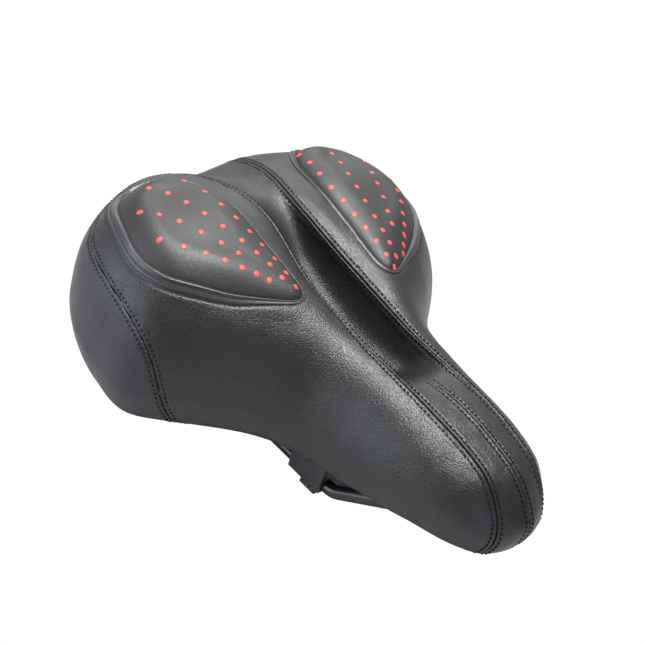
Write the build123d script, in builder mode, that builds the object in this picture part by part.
from build123d import *
from functools import cache
import math
import os

import numpy as np
from scipy.interpolate import CubicSpline, PchipInterpolator

# Comfort bicycle saddle with its rails, rear suspension and clamp for a 22.2 mm seat post.
# Millimetres. +Z up, the nose points to -Y, the rider's left is +X.
# Origin: the seat post axis where it crosses the plane of the two rails.
# Body tables use a station s along the saddle, rising towards the nose, and a height:
# y = station_y - s, z = height + station_z.
os.makedirs("parts", exist_ok=True)

station_y = 35.0
station_z = 20.5

# ---------------------------------------------------------------- body sizes
skin = 1.5  # cover thickness
hem_w = 8.0  # cover folded under the base rim
seam_gap = 0.2  # between neighbouring cover panels
shell_t = 3.0  # base shell wall
shell_inset = 2.0  # base shell inside the cover's lower edge
dart_start = 70.0  # the nose dart runs forward from this station
dart_length = 100.0
cut_lo = -20.0  # underside of the upright cutting prisms
cut_height = 180.0

# Plan outline: half widths between two stations, then a fan of radii round each end.
rear_s = -50.0
nose_s = 119.0
rear_fan = 90.0  # length given to each fan on the outline scale
nose_fan = 30.0
half_width = [  # station, half width
    (rear_s, 102.0), (-25.0, 100.0), (0.0, 80.2), (25.0, 52.6), (50.0, 42.2), (80.0, 38.6),
    (nose_s, 30.8),
]
rear_radii = [(0, 77.0), (22.5, 83.6), (45, 89.1), (67.5, 99.9), (90, 102.0)]  # degrees, radius
nose_radii = [(0, 24.6), (30, 25.1), (60, 26.5)]  # the last radius comes from the half width

# Crest of the cushion: station, height
crest = [
    (-125.0, 75.8), (-90.0, 86.8), (-50.0, 91.2), (-10.0, 76.4), (30.0, 68.4), (70.0, 63.6),
    (105.0, 57.1), (135.0, 48.9),
]
# Channel down the middle: station, depth and station, width
channel_depth = [
    (-130.0, 5.8), (-90.0, 11.8), (-50.0, 17.3), (-10.0, 17.3), (30.0, 15.0), (60.0, 9.7),
    (85.0, 4.5), (100.0, 3.0),
]
channel_width = [(-120.0, 27.1), (-50.0, 24.7), (30.0, 16.1), (80.0, 17.4)]

# Hollow beside each pad's inner edge
step_x = 28.0
step_depth = 5.5
step_inner_w, step_outer_w = 8.5, 15.0  # spread on either side of step_x

# Place on the outline: -1 rear centre, 0 widest point, 1 nose start, 2 tip
edge_height = [  # place, height of the lower edge
    (-1.0, 16.4), (-0.7, 12.5), (-0.35, 6.4), (0.0, -8.2), (0.3, -1.1), (0.6, 1.0),
    (0.85, 6.9), (1.0, 8.6), (1.5, 8.3), (2.0, 10.4),
]
skirt = [  # place, height of the skirt, tuck inward at its lower edge
    (-1.0, 20.4, 14.0), (-0.5, 23.1, 11.0), (0.0, 22.9, 9.2), (0.5, 19.2, 2.5),
    (1.0, 19.9, 5.0), (1.5, 15.0, 5.7), (2.0, 16.5, 5.3),
]
fullness = [(-1.0, 2.49), (0.0, 2.87), (0.5, 1.94), (1.0, 1.97), (2.0, 2.08)]  # place, exponent

# Station, height of the base shell's arch
arch_height = [
    (-125, 30), (-110, 36), (-80, 43), (-50, 43), (0, 35), (40, 29), (80, 27.5), (110, 27),
    (140, 24),
]
# The two long seams: station, distance from the middle
long_seam = [
    (-130.0, 31.2), (-90.0, 17.6), (-50.0, 11.2), (0.0, 15.3), (50.0, 15.2), (90.0, 16.2),
    (115.0, 15.4), (140.0, 16.4),
]
# Seam between the side panel and the rear panel: station, height
side_seam = [
    (-2, -30), (-5, -12), (-7.0, -0.3), (-10.0, 12.7), (-13.5, 24.0), (-18.3, 34.0),
    (-25.0, 41.4), (-36.0, 47.5), (-45.0, 50.6), (-55.0, 53.2), (-66.0, 55.2), (-75.0, 56.2),
    (-84.5, 57.0), (-93.0, 58.5), (-101.0, 60.5), (-110.0, 61.5), (-122.0, 61.0),
    (-136.0, 58.0),
]

# ---------------------------------------------------------------- gel pad sizes
pad_outline = [  # teardrop on the left half: x, station
    (29.5, 2.5), (27.0, -4.0), (27.0, -16.0), (27.8, -30.0), (28.2, -46.0), (29.5, -62.0),
    (33.5, -78.0), (43.5, -91.0), (58.0, -96.5), (70.5, -91.5), (79.0, -80.0), (84.8, -64.0),
    (86.8, -51.5), (85.4, -41.0), (81.5, -31.5), (73.0, -21.8), (62.0, -12.5), (50.0, -5.0),
    (40.0, 0.8), (34.0, 3.5),
]
pad_rise = 3.0  # extra height of the pad at its outer shoulder
rise_x, rise_x_spread = 68, 20
rise_s, rise_s_spread = -48, 38
pad_gap = 0.1  # pad inside its border
pad_skin = 1.2
border_w = 4.0
gel_t = 7.0
pad_lo, pad_hi = 55.0, 140.0  # the upright prisms that trim the pad
dots = [  # printed dots on the left pad: x, station
    (32.5, -0.3), (31.8, -7.0), (32.0, -15.3), (32.6, -24.5), (32.9, -34.0), (34.5, -43.3),
    (36.0, -52.7), (37.3, -64.4), (38.0, -76.0), (43.0, -84.5),
    (36.8, -5.4), (38.2, -12.4), (40.0, -19.8), (42.6, -27.9), (46.0, -36.9), (49.0, -45.6),
    (51.7, -55.0), (54.1, -65.2), (57.0, -76.2),
    (49.5, -21.7), (53.7, -28.4), (58.4, -36.1), (62.3, -45.1), (65.6, -53.3), (69.2, -62.5),
    (44.4, -7.6), (48.2, -11.7), (53.0, -16.2), (58.3, -21.2), (63.5, -27.0), (69.0, -33.9),
    (74.5, -43.0),
]
dot_r = 1.35
dot_t = 0.7

# ---------------------------------------------------------------- rail and mount sizes
rail_r = 3.5  # 7 mm wire
rail_half = 22.0  # half of the rail spacing
rail_end_y = 114.0
run_gap = 0.05  # radial running gap
rail_bore_r = rail_r + run_gap

nose_y, nose_z = -73.0, 34.5  # centre of the rail's front bar
nose_half = 15.6
cap_size = (12.8, 26.0)
cap_lo = 28.0
screw_lo = 25.4
screw_r = 2.0
screw_spots = [(0, nose_y + 8.7), (0, nose_y - 8.7)]

bridge_y, bridge_z = 109.0, 22.0
bridge_half = 52.0
bridge_t = 12.0
bridge_lo = bridge_z - bridge_t / 2
bridge_hi = bridge_z + bridge_t / 2
boss_z = 46.0  # underside of the base's rear bosses
rubber_x = 38.0
rubber_r = 12.0
rubber_hole_r = 4.6
rubber_gap = 0.03
rubber_spots = [(rubber_x, bridge_y), (-rubber_x, bridge_y)]
bolt_lo = 10.2
bolt_r = 3.0

post_r = 11.1
collar_r = 14.5
collar_lo, collar_hi = -10.75, 10.75
clamp_z = 24.0  # cross bolt above the rail plane
boss_r = 9.0
boss_half = 15.4
cup_half = 11.5
cup_out = 27.2  # outer face of the cups
cup_foot = 3.0  # cups reach this far under the rail plane
cup_split = 0.1  # each cup stops this far from the rail axis
lip_in = 18.6
clamp_bolt_r = 4.0
clamp_hole_r = 4.2
washer_t = 1.2
washer_gap = 0.05
hex_r = 6.5  # half the width across flats
head_t = 4.0


# ---------------------------------------------------------------- body surface
def columns(table):
    return np.array(table, float).T


def held(table):
    """monotone curve through a table, constant beyond its ends"""
    at, values = columns(table)
    curve = PchipInterpolator(at, values)
    return lambda s: curve(np.clip(s, at[0], at[-1]))


def along(place):
    """outline scale of a place from -1 to 2; it equals the station between the fans"""
    return np.where(
        place < 0,
        rear_s + place * rear_fan,
        np.where(place <= 1, rear_s + place * (nose_s - rear_s), nose_s + (place - 1) * nose_fan),
    )


width_at = CubicSpline(*columns(half_width), bc_type=((1, 0.0), "not-a-knot"))
nose_width = float(width_at(nose_s))
nose_slope = float(width_at(nose_s, 1))
fan_angles, fan_radii = columns(rear_radii)
rear_at = CubicSpline(np.radians(fan_angles), fan_radii, bc_type=((1, 0.0), (1, 0.0)))
fan_angles, fan_radii = columns(nose_radii + [(90, nose_width)])
nose_at = CubicSpline(np.radians(fan_angles), fan_radii,
                      bc_type=((1, 0.0), (1, -nose_slope * nose_width)))
crest_at = CubicSpline(*columns(crest), bc_type="natural")
channel_depth_at = held(channel_depth)
channel_width_at = held(channel_width)
arch_at = CubicSpline(*columns(arch_height))
seam_at = PchipInterpolator(*columns(long_seam))

places, heights = columns(edge_height)
edge_at = CubicSpline(along(places), heights, bc_type="natural")
places, heights, tucks = columns(skirt)
skirt_height_at = PchipInterpolator(along(places), heights)
skirt_tuck_at = PchipInterpolator(along(places), tucks)
places, exponents = columns(fullness)
fullness_at = PchipInterpolator(along(places), exponents)


def gauge(x, s):
    """0 on the spine to 1 on the outline, and the place along the outline scale"""
    side = np.abs(x)
    if s < rear_s:
        angle = np.arctan2(side, rear_s - s)
        return (np.hypot(side, rear_s - s) / rear_at(angle),
                rear_s - (np.pi / 2 - angle) / (np.pi / 2) * rear_fan)
    if s > nose_s:
        angle = np.arctan2(side, s - nose_s)
        return (np.hypot(side, s - nose_s) / nose_at(angle),
                nose_s + (np.pi / 2 - angle) / (np.pi / 2) * nose_fan)
    return side / width_at(s), s


def hollow(x, s):
    """depth of the middle channel and of the hollow beside each pad's inner edge"""
    side = np.abs(x)
    channel = channel_depth_at(s) * np.exp(-0.9 * (side / channel_width_at(s)) ** 2)
    spread = np.where(side < step_x, step_inner_w, step_outer_w)
    # the hollow fades out behind station -92 and ahead of station 4
    fade = 1 / (1 + np.exp(-(s + 92) / 7)) / (1 + np.exp((s - 4) / 5))
    return channel + step_depth * fade * np.exp(-(((side - step_x) / spread) ** 2))


def crown(x, s, inset=0.0, lift=0.0):
    """height of the upper surface, inset under the outside"""
    width = float(width_at(np.clip(s, rear_s, nose_s)))
    x = x * width / (width - inset)
    if s < rear_s:
        radius = rear_radii[0][1]
        s = rear_s + (s - rear_s) * radius / (radius - inset)
    if s > nose_s:
        radius = nose_radii[0][1]
        s = nose_s + (s - nose_s) * radius / (radius - inset)
    reach, place = gauge(x, s)
    reach = np.clip(reach, 0, 1)
    base = edge_at(place) + skirt_height_at(place)
    dome = (1 - reach ** fullness_at(place)) ** (1 / fullness_at(place))
    z = base + (crest_at(s) - inset - base) * dome
    z = z - hollow(x, s) * np.clip((1 - reach) / 0.25, 0, 1) ** 0.5
    bump = -(((np.abs(x) - rise_x) / rise_x_spread) ** 2) - ((s - rise_s) / rise_s_spread) ** 2
    return z + lift * np.exp(bump)


def outline(inset=0.0, depth=0.0):
    """x, station and height of one half from the rear centre to the tip;
    depth is 0 at the top of the skirt and 1 at the lower edge"""
    n = 240
    place = np.concatenate([
        np.linspace(rear_s - rear_fan, rear_s, n, endpoint=False),
        np.linspace(rear_s, nose_s, n, endpoint=False),
        np.linspace(nose_s, nose_s + nose_fan, n),
    ])
    x = np.zeros_like(place)
    s = np.zeros_like(place)
    for i, t in enumerate(place):
        if t < rear_s:
            angle = np.pi / 2 - (rear_s - t) / rear_fan * np.pi / 2
            radius = rear_at(angle)
            x[i], s[i] = radius * np.sin(angle), rear_s - radius * np.cos(angle)
        elif t > nose_s:
            angle = np.pi / 2 - (t - nose_s) / nose_fan * np.pi / 2
            radius = nose_at(angle)
            x[i], s[i] = radius * np.sin(angle), nose_s + radius * np.cos(angle)
        else:
            x[i], s[i] = width_at(t), t
    step_along_x, step_along_s = np.gradient(x), np.gradient(s)
    step = np.hypot(step_along_x, step_along_s)
    inward_x, inward_s = -step_along_s / step, step_along_x / step
    inward_x[0], inward_s[0] = 0, 1
    inward_x[-1], inward_s[-1] = 0, -1
    shift = inset + skirt_tuck_at(place) * depth * depth
    height = edge_at(place) + skirt_height_at(place) * (1 - depth)
    return np.maximum(x + inward_x * shift, 0), s + inward_s * shift, height


def half_at(curve, s):
    """half width and height of an outline at a station"""
    first, last = int(np.argmin(curve[1])), int(np.argmax(curve[1]))
    x, at, height = [column[first:last + 1] for column in curve]
    return float(np.interp(s, at, x)), float(np.interp(s, at, height))


def stations(lo, hi):
    """section stations between the ends of an outline, crowded at both ends"""
    mids = [-100, -84, -66, -48, -30, -12, 6, 26, 48, 72, 96, 114, 126]
    mids = [mid for mid in mids if lo + 13 < mid < hi - 7]
    return [lo + 0.4, lo + 2.5, lo + 7.5] + mids + [hi - 4.0, hi - 1.2, hi - 0.3]


def evenly(curve, n):
    """n points spaced evenly along a curve"""
    run = np.concatenate([[0], np.cumsum(np.hypot(*np.diff(curve, axis=0).T))])
    at = np.linspace(0, run[-1], n)
    return np.column_stack([np.interp(at, run, curve[:, 0]), np.interp(at, run, curve[:, 1])])


def section_spline(points):
    """spline through (x, height) points of a section, with even parameters"""
    return Edge.make_spline(
        [Vector(float(x), float(height) + station_z) for x, height in points],
        parameters=[i / (len(points) - 1) for i in range(len(points))],
    )


@cache
def skirt_rings(inset):
    return [outline(inset, depth) for depth in np.linspace(0, 1, 13)]


def cushion_sections(inset, floor_rise=0.0, lift=0.0):
    """one closed section per station: crown, two skirts and a level floor"""
    rings = skirt_rings(inset)
    faces = []
    for s in stations(float(rings[0][1].min()), float(rings[0][1].max())):
        side = [half_at(ring, s) for ring in rings if ring[1].min() < s < ring[1].max()]
        if len(side) < 3:  # close to an end the lower rings fall short
            top, bottom = side[0], side[-1]
            side = [top, (0.8 * top[0], top[1] - 1.6), (0.55 * top[0], bottom[1] - 2.6)]
            side[1] = (0.8 * top[0], top[1] - 1.6)
            side[2] = (0.55 * top[0], top[1] - 2.6)
        side = np.array(side)
        side[:, 1] += floor_rise * np.linspace(0, 1, len(side))
        side = evenly(side, 4)
        width, rim_height = side[0]
        x = width * np.sin(np.radians(np.linspace(-90, 90, 201)))
        top = np.column_stack([x, crown(x * 0.99999, s, inset, lift)])
        top[0], top[-1] = (-width, rim_height), (width, rim_height)
        floor_x, floor_z = float(side[-1, 0]), float(side[-1, 1]) + station_z
        with BuildSketch(Plane.XZ.offset(s - station_y)) as face:
            with BuildLine():
                add(section_spline(evenly(top, 21)))
                add(section_spline(side))
                Line((floor_x, floor_z), (-floor_x, floor_z))
                add(section_spline(side[::-1] * (-1, 1)))
            make_face()
        faces.append(face.sketch)
    return faces


def arch_sections(inset, drop, floor_rise):
    """one closed section per station of the arch over the lower edge outline"""
    lower = outline(inset, 1.0)
    lo, hi = float(lower[1].min()), float(lower[1].max())
    faces = []
    for s in stations(lo, hi):
        width, floor = half_at(lower, s)
        end = min(1.0, max((s - lo) / 14.0, 0.02), max((hi - s) / 10.0, 0.02))
        end = (1 - (1 - end) ** 2.5) ** 0.5  # rounds the arch down at both ends
        x = width * np.sin(np.radians(np.linspace(-90, 90, 181)))
        bow = np.sqrt(np.clip(1 - np.abs(x / width) ** 4, 0, 1))
        height = floor + (float(arch_at(s)) - drop - floor) * end * bow
        floor += floor_rise
        above = height > floor + 0.01
        curve = np.vstack([[-width, floor], np.column_stack([x, height])[above], [width, floor]])
        with BuildSketch(Plane.XZ.offset(s - station_y)) as face:
            with BuildLine():
                add(section_spline(evenly(curve, 15)))
                Line((width, floor + station_z), (-width, floor + station_z))
            make_face()
        faces.append(face.sketch)
    return faces


def mirrored(part):
    return part.mirror(Plane.YZ)


# ---------------------------------------------------------------- volumes
with BuildPart() as skin_volume:
    loft(cushion_sections(0.0))

with BuildPart() as core_volume:
    loft(cushion_sections(skin, floor_rise=skin))

with BuildPart() as arch_volume:
    loft(arch_sections(shell_inset, drop=0.0, floor_rise=skin + 0.8))

with BuildPart() as arch_clear:
    loft(arch_sections(0.9, drop=-0.4, floor_rise=-6.0))

with BuildPart() as pad_outer:
    loft(cushion_sections(0.0, lift=pad_rise))

with BuildPart() as pad_inner:
    loft(cushion_sections(pad_skin, lift=pad_rise))

with BuildPart() as pad_floor:
    loft(cushion_sections(pad_skin + gel_t, lift=pad_rise))


def column(points, lo, hi):
    """upright prism over a closed plan curve"""
    with BuildPart() as prism:
        with BuildSketch(Plane.XY.offset(lo)):
            with BuildLine():
                Spline(*points, periodic=True)
            make_face()
        extrude(amount=hi - lo)
    return prism.part


def grown(points, distance):
    """a closed plan curve moved out by a distance"""
    points = np.array(points, float)
    following = np.roll(points, -1, 0)
    tangent = following - np.roll(points, 1, 0)
    tangent /= np.linalg.norm(tangent, axis=1)[:, None]
    area = np.sum(points[:, 0] * following[:, 1] - following[:, 0] * points[:, 1])
    outward = np.column_stack([tangent[:, 1], -tangent[:, 0]]) * (1 if area > 0 else -1)
    return [tuple(point) for point in points + outward * distance]


def strip(widen):
    """upright prism between the two long seams"""
    seam_s = [float(s) for s in np.linspace(-128, 146, 30)]
    left = [(float(seam_at(s)) + widen, station_y - s) for s in seam_s]
    right = [(-x, y) for x, y in left]
    with BuildPart() as prism:
        with BuildSketch(Plane.XY.offset(cut_lo)):
            with BuildLine():
                Spline(*left)
                Line(left[-1], right[-1])
                Spline(*right[::-1])
                Line(right[0], left[0])
            make_face()
        extrude(amount=cut_height)
    return prism.part


def rear_region(shift):
    """left half behind and below the side seam, the seam moved forward and up"""
    seam = [(station_y - s - shift, height + station_z + shift) for s, height in side_seam]
    back_y, bottom_z = station_y + 150, -40
    with BuildPart() as prism:
        with BuildSketch(Plane.YZ):
            with BuildLine():
                Spline(*seam)
                Line(seam[-1], (back_y, seam[-1][1]))
                Line((back_y, seam[-1][1]), (back_y, bottom_z))
                Line((back_y, bottom_z), (seam[0][0], bottom_z))
                Line((seam[0][0], bottom_z), seam[0])
            make_face()
        extrude(amount=140.0)
    return prism.part


pad_plan = [(x, station_y - s) for x, s in pad_outline]
pad_column = column(grown(pad_plan, -pad_gap), pad_lo, pad_hi)
pad_hole = column(grown(pad_plan, 0.0), pad_lo, pad_hi)
border_column = column(grown(pad_plan, border_w), pad_lo, pad_hi)

middle = strip(-seam_gap / 2)
middle_wide = strip(seam_gap / 2)

# opening in the underside of the cover, inside the folded hem
hem_x, hem_s, _ = outline(hem_w, 1.0)
hem_left = [(float(x), station_y - float(s)) for x, s in zip(hem_x[::20], hem_s[::20]) if x > 3.0]
opening = column(hem_left + [(-x, y) for x, y in hem_left[::-1]], -30.0, 50.0)

# ---------------------------------------------------------------- cover
with BuildPart() as cover_shell:
    add(skin_volume.part)
    add(core_volume.part, mode=Mode.SUBTRACT)
    add(opening, mode=Mode.SUBTRACT)

# middle panel, slit along the nose dart
with BuildPart() as cover_centre_panel:
    add(cover_shell.part)
    add(middle, mode=Mode.INTERSECT)
    with BuildSketch(Plane.XY.offset(cut_lo)):
        with Locations((0, station_y - dart_start - dart_length / 2)):
            Rectangle(seam_gap, dart_length)
    extrude(amount=cut_height, mode=Mode.SUBTRACT)

with BuildPart() as cover_side_panel_left:
    add(cover_shell.part)
    add(middle_wide, mode=Mode.SUBTRACT)
    # remove the right half
    with BuildSketch(Plane.XY.offset(cut_lo)):
        with Locations((-100, 0)):
            Rectangle(200, 500)
    extrude(amount=200.0, mode=Mode.SUBTRACT)
    add(rear_region(seam_gap / 2), mode=Mode.SUBTRACT)
    add(border_column, mode=Mode.SUBTRACT)

with BuildPart() as cover_rear_panel_left:
    add(cover_shell.part)
    add(middle_wide, mode=Mode.SUBTRACT)
    add(rear_region(-seam_gap / 2), mode=Mode.INTERSECT)

# ---------------------------------------------------------------- gel pads
with BuildPart() as pad_border_left:
    add(pad_outer.part)
    add(border_column, mode=Mode.INTERSECT)
    add(pad_hole, mode=Mode.SUBTRACT)
    add(core_volume.part, mode=Mode.SUBTRACT)


def pad_height(x, s):
    return float(crown(x, s, lift=pad_rise))


# each dot lies square to the pad's surface
dot_planes = []
for x, s in dots:
    reach = 0.2
    slope_x = (pad_height(x + reach, s) - pad_height(x - reach, s)) / (2 * reach)
    slope_s = (pad_height(x, s + reach) - pad_height(x, s - reach)) / (2 * reach)
    dot_planes.append(Plane(origin=(x, station_y - s, pad_height(x, s) + station_z),
                            z_dir=(-slope_x, slope_s, 1.0)))

with BuildPart() as pad_dots_left:
    with Locations(*dot_planes):
        Cylinder(dot_r, dot_t)

with BuildPart() as pad_cover_left:
    add(pad_outer.part)
    add(pad_column, mode=Mode.INTERSECT)
    add(pad_inner.part, mode=Mode.SUBTRACT)
    with Locations(*dot_planes):
        Cylinder(dot_r + 0.04, dot_t + 0.1, mode=Mode.SUBTRACT)

with BuildPart() as gel_insert_left:
    add(pad_inner.part)
    add(pad_column, mode=Mode.INTERSECT)
    add(pad_floor.part, mode=Mode.SUBTRACT)

# ---------------------------------------------------------------- foam
with BuildPart() as pocket:
    add(pad_hole)
    add(pad_floor.part, mode=Mode.SUBTRACT)

with BuildPart() as foam_cushion:
    add(core_volume.part)
    add(arch_clear.part, mode=Mode.SUBTRACT)
    add(pocket.part, mode=Mode.SUBTRACT)
    add(mirrored(pocket.part), mode=Mode.SUBTRACT)

# ---------------------------------------------------------------- base shell
# hollow of the shell; what is cut from it here stays solid in the shell
with BuildPart() as cavity:
    loft(arch_sections(shell_inset + shell_t, drop=shell_t, floor_rise=-8.0))
    # rear bosses
    with BuildSketch(Plane.XY.offset(boss_z)):
        with Locations(*rubber_spots):
            Circle(13.0)
    extrude(amount=40.0, mode=Mode.SUBTRACT)
    # nose block
    with BuildSketch(Plane.XY.offset(nose_z)):
        with Locations((0, nose_y)):
            Rectangle(*cap_size)
    extrude(amount=30.0, mode=Mode.SUBTRACT)
    # cross ribs and long ribs
    with BuildSketch(Plane.XY.offset(52.0)):
        with Locations((0, 62.0), (0, 84.0), (0, 134.0)):
            Rectangle(120.0, 2.5)
        with Locations((28.0, 62.0), (-28.0, 62.0)):
            Rectangle(2.5, 150.0)
    extrude(amount=40.0, mode=Mode.SUBTRACT)

with BuildPart() as base_shell:
    add(arch_volume.part)
    add(cavity.part, mode=Mode.SUBTRACT)
    # holes for the suspension bolts and the nose cap screws
    with BuildSketch(Plane.XY.offset(boss_z - 1.0)):
        with Locations(*rubber_spots):
            Circle(bolt_r + 0.02)
    extrude(amount=12.0, mode=Mode.SUBTRACT)
    with BuildSketch(Plane.XY.offset(nose_z - 1.0)):
        with Locations(*screw_spots):
            Circle(screw_r + 0.02)
    extrude(amount=9.0, mode=Mode.SUBTRACT)
    # seat of the rail's front bar
    with BuildSketch(Plane.YZ.offset(-10.0)):
        with Locations((nose_y, nose_z)):
            Circle(rail_bore_r)
    extrude(amount=20.0, mode=Mode.SUBTRACT)
    # room for the folded hem under the tail
    with BuildSketch(Plane.YZ.offset(-70.0)):
        with BuildLine():
            Polyline((136.0, 31.0), (144.0, 34.75), (151.0, 38.3), (151.0, 15.0), (136.0, 15.0),
                     close=True)
        make_face()
    extrude(amount=140.0, mode=Mode.SUBTRACT)

# wire staples through the folded hem into the base rim
rim_x, rim_s, _ = outline(3.5, 1.0)
lower_edge = outline(0.0, 1.0)
staple_planes = []
for i in np.linspace(30, 690, 12).astype(int):
    x, s = float(rim_x[i]), float(rim_s[i])
    along_x = float(rim_x[i + 3] - rim_x[i - 3])
    along_s = float(rim_s[i + 3] - rim_s[i - 3])
    z = half_at(lower_edge, s)[1] + station_z
    staple_planes.append(Plane(origin=(x, station_y - s, z), x_dir=(along_x, -along_s, 0),
                               z_dir=(0, 0, 1)))

with BuildPart() as cover_staples:
    with Locations(*staple_planes):
        Box(10.0, 1.0, 0.8, align=(Align.CENTER, Align.CENTER, Align.MAX))
        with Locations((-4.6, 0, -0.4), (4.6, 0, -0.4)):
            Box(0.8, 0.8, 5.4, align=(Align.CENTER, Align.CENTER, Align.MIN))
    add(mirrored(cover_staples.part))

# ---------------------------------------------------------------- nose mount
# cap that holds the front bar up against the base
with BuildPart() as nose_cap:
    with BuildSketch(Plane.XY.offset(cap_lo)):
        with Locations((0, nose_y)):
            RectangleRounded(*cap_size, 2.0)
        with Locations(*screw_spots):
            Circle(screw_r + 0.15, mode=Mode.SUBTRACT)
    extrude(amount=nose_z - cap_lo - 0.1)
    with BuildSketch(Plane.YZ.offset(-10.0)):
        with Locations((nose_y, nose_z)):
            Circle(rail_bore_r)
    extrude(amount=20.0, mode=Mode.SUBTRACT)

# head, shank and cross slot
with BuildPart() as nose_cap_screws:
    with BuildSketch(Plane.XY.offset(screw_lo)):
        with Locations(*screw_spots):
            Circle(3.6)
    extrude(amount=cap_lo - run_gap - screw_lo)
    with BuildSketch(Plane.XY.offset(screw_lo)):
        with Locations(*screw_spots):
            Circle(screw_r)
    extrude(amount=15.6)
    with BuildSketch(Plane.XY.offset(screw_lo)):
        with Locations(*screw_spots):
            Rectangle(4.4, 0.9)
            Rectangle(0.9, 4.4)
    extrude(amount=1.3, mode=Mode.SUBTRACT)

# ---------------------------------------------------------------- rails
# corners of the left half from the rear end to the front bar, then the right half back
rail_left = [
    (rail_half, rail_end_y, bridge_z), (rail_half, 90.0, bridge_z), (rail_half, 64.0, 0.0),
    (rail_half, -16.2, 0.0), (nose_half, nose_y, nose_z),
]
bends_left = [14.0, 14.0, 14.0, 8.0]  # centreline radius at each corner after the first
rail_path = [Vector(*p) for p in rail_left + [(-x, y, z) for x, y, z in rail_left[::-1]]]
rail_bends = bends_left + bends_left[::-1]

with BuildPart() as rail_frame:
    with BuildLine() as rail_line:
        last = rail_path[0]
        for before, corner, after, radius in zip(rail_path, rail_path[1:], rail_path[2:],
                                                 rail_bends):
            arriving = (corner - before).normalized()
            leaving = (after - corner).normalized()
            turn = math.acos(arriving.dot(leaving))
            setback = radius * math.tan(turn / 2)
            start, finish = corner - arriving * setback, corner + leaving * setback
            inward = (leaving - arriving).normalized()
            middle_point = corner + inward * (radius / math.cos(turn / 2) - radius)
            Line(last, start)
            ThreePointArc(start, middle_point, finish)
            last = finish
        Line(last, rail_path[-1])
    with BuildSketch(Plane(origin=rail_path[0], z_dir=(0, -1, 0))):
        Circle(rail_r)
    sweep(path=rail_line.wires()[0])

# ---------------------------------------------------------------- rear suspension
with BuildPart() as rear_bridge:
    with BuildSketch(Plane.XY.offset(bridge_lo)):
        with Locations((0, bridge_y)):
            RectangleRounded(2 * bridge_half, 22.0, 8.0)
        with Locations(*rubber_spots):
            Circle(13.5)
    extrude(amount=bridge_t)
    # bolt holes and a middle window
    with BuildSketch(Plane.XY.offset(bridge_lo)):
        with Locations(*rubber_spots):
            Circle(rubber_hole_r)
        with Locations((0, bridge_y)):
            RectangleRounded(24.0, 10.0, 3.0)
    extrude(amount=bridge_t, mode=Mode.SUBTRACT)
    # blind sockets for the rail ends
    socket_y = bridge_y - 14.0
    with BuildSketch(Plane.XZ.offset(-socket_y)):
        with Locations((rail_half, bridge_z), (-rail_half, bridge_z)):
            Circle(rail_r + 0.02)
    extrude(amount=-(rail_end_y + 0.1 - socket_y), mode=Mode.SUBTRACT)

with BuildPart() as elastomer_left:
    with BuildSketch(Plane.XY.offset(bridge_hi + rubber_gap)):
        with Locations(rubber_spots[0]):
            Circle(rubber_r)
            Circle(rubber_hole_r, mode=Mode.SUBTRACT)
    extrude(amount=boss_z - bridge_hi - 2 * rubber_gap)

# head, shank and hex socket
with BuildPart() as suspension_bolts:
    with BuildSketch(Plane.XY.offset(bolt_lo)):
        with Locations(*rubber_spots):
            Circle(5.0)
    extrude(amount=4.1)
    with BuildSketch(Plane.XY.offset(bolt_lo)):
        with Locations(*rubber_spots):
            Circle(bolt_r)
    extrude(amount=45.8)
    with BuildSketch(Plane.XY.offset(bolt_lo)):
        with Locations(*rubber_spots):
            RegularPolygon(2.5, 6, major_radius=False)
    extrude(amount=2.6, mode=Mode.SUBTRACT)

with BuildPart() as suspension_washers:
    with BuildSketch(Plane.XY.offset(14.35)):
        with Locations(*rubber_spots):
            Circle(9.0)
            Circle(bolt_r + 0.2, mode=Mode.SUBTRACT)
    extrude(amount=1.55)

# ---------------------------------------------------------------- clamp
with BuildPart() as clamp_collar:
    with BuildSketch(Plane.XY.offset(collar_lo)):
        Circle(collar_r)
    extrude(amount=collar_hi + 2.0 - collar_lo)
    # neck up to the cross boss
    with BuildSketch(Plane.XY.offset(collar_hi)):
        Rectangle(20.0, 14.0)
    extrude(amount=clamp_z - collar_hi)
    with BuildSketch(Plane.YZ.offset(-boss_half)):
        with Locations((0, clamp_z)):
            Circle(boss_r)
    extrude(amount=2 * boss_half)
    # post bore, with a slit at the back
    with BuildSketch(Plane.XY.offset(collar_lo)):
        Circle(post_r)
        with Locations((0, 10.0)):
            Rectangle(2.0, 20.0)
    extrude(amount=collar_hi - collar_lo, mode=Mode.SUBTRACT)
    with BuildSketch(Plane.YZ.offset(-boss_half)):
        with Locations((0, clamp_z)):
            Circle(clamp_bolt_r + run_gap)
    extrude(amount=2 * boss_half, mode=Mode.SUBTRACT)


def cup(x_in, x_out, lipped=False):
    """left cup between two x planes, grooved for the rail; the lip reaches in under the rail"""
    with BuildPart() as body:
        with BuildSketch(Plane.YZ.offset(x_in)):
            with Locations((0, (clamp_z - cup_foot) / 2)):
                Rectangle(2 * cup_half, clamp_z + cup_foot)
            with Locations((0, clamp_z)):
                Circle(cup_half)
                Circle(clamp_hole_r, mode=Mode.SUBTRACT)
        extrude(amount=x_out - x_in)
        if lipped:
            with BuildSketch(Plane.XZ.offset(-1.5)):
                with Locations(((lip_in + x_out) / 2, -4.85)):
                    RectangleRounded(x_out - lip_in, 3.5, 1.5)
                with Locations(((x_in + x_out) / 2, -3.2)):
                    Rectangle(x_out - x_in, 3.0)
            extrude(amount=10.0)
        with BuildSketch(Plane.XZ.offset(-20.0)):
            with Locations((rail_half, 0)):
                Circle(rail_bore_r)
        extrude(amount=40.0, mode=Mode.SUBTRACT)
    return body


inner_cup_left = cup(boss_half + 0.2, rail_half - cup_split)
outer_cup_left = cup(rail_half + cup_split, cup_out, lipped=True)

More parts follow.
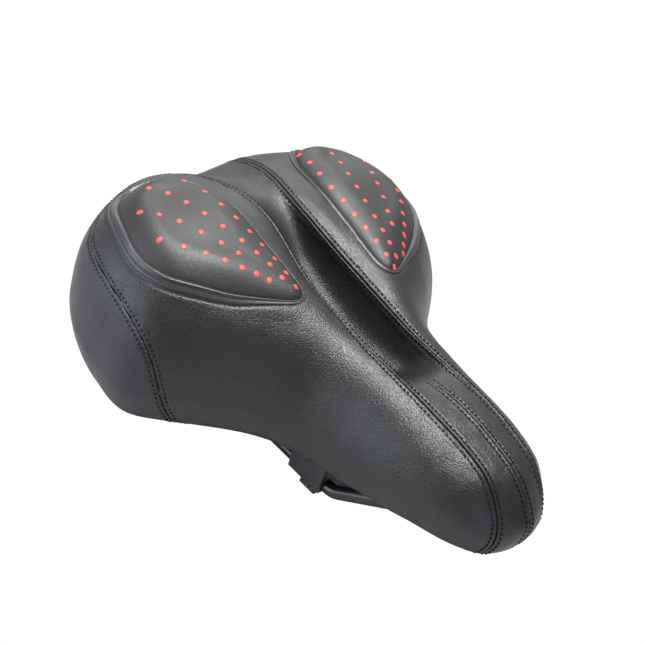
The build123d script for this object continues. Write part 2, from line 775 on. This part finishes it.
with BuildPart() as clamp_washers:
    for x in (cup_out + washer_gap, -cup_out - washer_gap - washer_t):
        with BuildSketch(Plane.YZ.offset(x)):
            with Locations((0, clamp_z)):
                Circle(8.0)
                Circle(clamp_hole_r, mode=Mode.SUBTRACT)
        extrude(amount=washer_t)

# cross bolt, its head on the right and its nut on the left
hex_x = cup_out + washer_t + 2 * washer_gap
with BuildPart() as clamp_bolt:
    with BuildSketch(Plane.YZ.offset(-hex_x - head_t)):
        with Locations((0, clamp_z)):
            RegularPolygon(hex_r, 6, major_radius=False)
    extrude(amount=head_t)
    with BuildSketch(Plane.YZ.offset(-hex_x - head_t)):
        with Locations((0, clamp_z)):
            Circle(clamp_bolt_r)
    extrude(amount=2 * cup_out + 11.6)

with BuildPart() as clamp_nut:
    with BuildSketch(Plane.YZ.offset(hex_x)):
        with Locations((0, clamp_z)):
            RegularPolygon(hex_r, 6, major_radius=False)
            Circle(clamp_bolt_r + 0.02, mode=Mode.SUBTRACT)
    extrude(amount=4.5)

# ---------------------------------------------------------------- write
singles = {
    "cover_centre_panel": cover_centre_panel, "foam_cushion": foam_cushion,
    "base_shell": base_shell, "cover_staples": cover_staples, "nose_cap": nose_cap,
    "nose_cap_screws": nose_cap_screws, "rail_frame": rail_frame, "rear_bridge": rear_bridge,
    "suspension_bolts": suspension_bolts, "suspension_washers": suspension_washers,
    "clamp_collar": clamp_collar, "clamp_washers": clamp_washers, "clamp_bolt": clamp_bolt,
    "clamp_nut": clamp_nut,
}
pairs = {
    "cover_side_panel": cover_side_panel_left, "cover_rear_panel": cover_rear_panel_left,
    "pad_cover": pad_cover_left, "pad_border": pad_border_left, "pad_dots": pad_dots_left,
    "gel_insert": gel_insert_left, "elastomer": elastomer_left, "inner_cup": inner_cup_left,
    "outer_cup": outer_cup_left,
}
pieces = {name: builder.part for name, builder in singles.items()}
for name, builder in pairs.items():
    pieces[name + "_left"] = builder.part
    pieces[name + "_right"] = mirrored(builder.part)
for name, piece in pieces.items():
    piece.label = name
    export_step(piece, f"parts/{name}.step")
